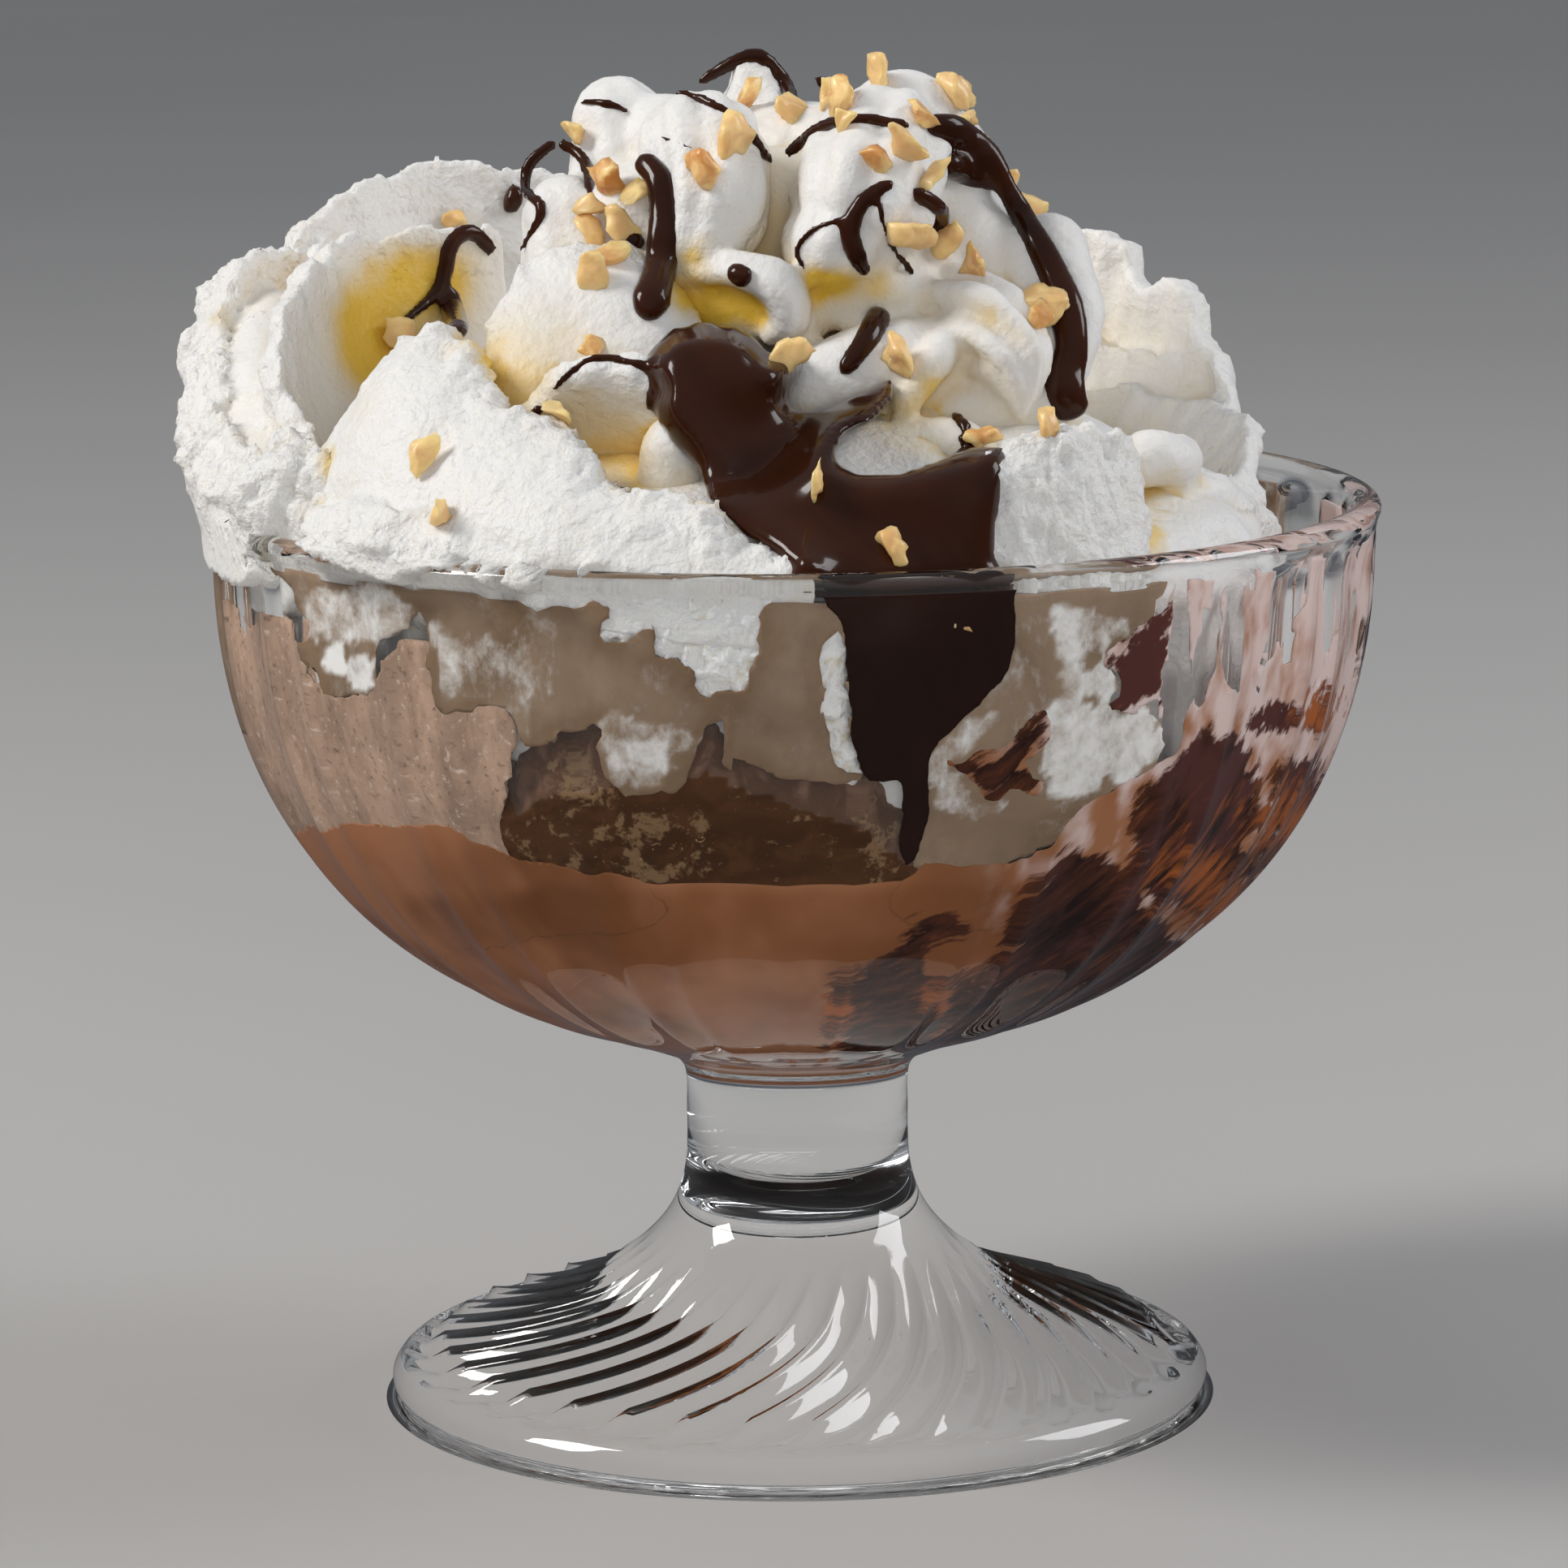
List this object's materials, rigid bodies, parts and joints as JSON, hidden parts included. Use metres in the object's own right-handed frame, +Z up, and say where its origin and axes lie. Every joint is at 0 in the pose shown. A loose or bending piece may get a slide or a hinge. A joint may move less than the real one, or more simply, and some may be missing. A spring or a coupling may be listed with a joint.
{
  "type": "affogato in a footed glass coupe",
  "caption": "Affogato in a fluted, footed glass: milky coffee, chocolate and coffee ice cream, a tall heap of whipped cream, chocolate sauce and chopped nuts.",
  "frame": {"origin": "middle of the glass foot's flat underside", "axes": "+Z up along the stem, -Y towards the front where the sauce runs over the rim, +X to the right of the front"},
  "size_m": [0.1134, 0.11, 0.1262],
  "materials": {
    "glass": "clear pressed glass, glossy",
    "coffee": "opaque milky coffee, wet gloss",
    "chocolate_ice_cream": "crumbly chocolate ice cream, matt",
    "coffee_ice_cream": "coffee ice cream, soft and foamy",
    "whipped_cream": "whipped cream, soft satin",
    "chocolate_sauce": "dark chocolate sauce, wet gloss"
  },
  "bodies": {
    "root": {"glass": "glass", "coffee": "coffee", "chocolate_ice_cream": "chocolate_ice_cream", "coffee_ice_cream": "coffee_ice_cream", "whipped_cream": "whipped_cream", "chocolate_sauce": "chocolate_sauce"}
  },
  "joints": []
}
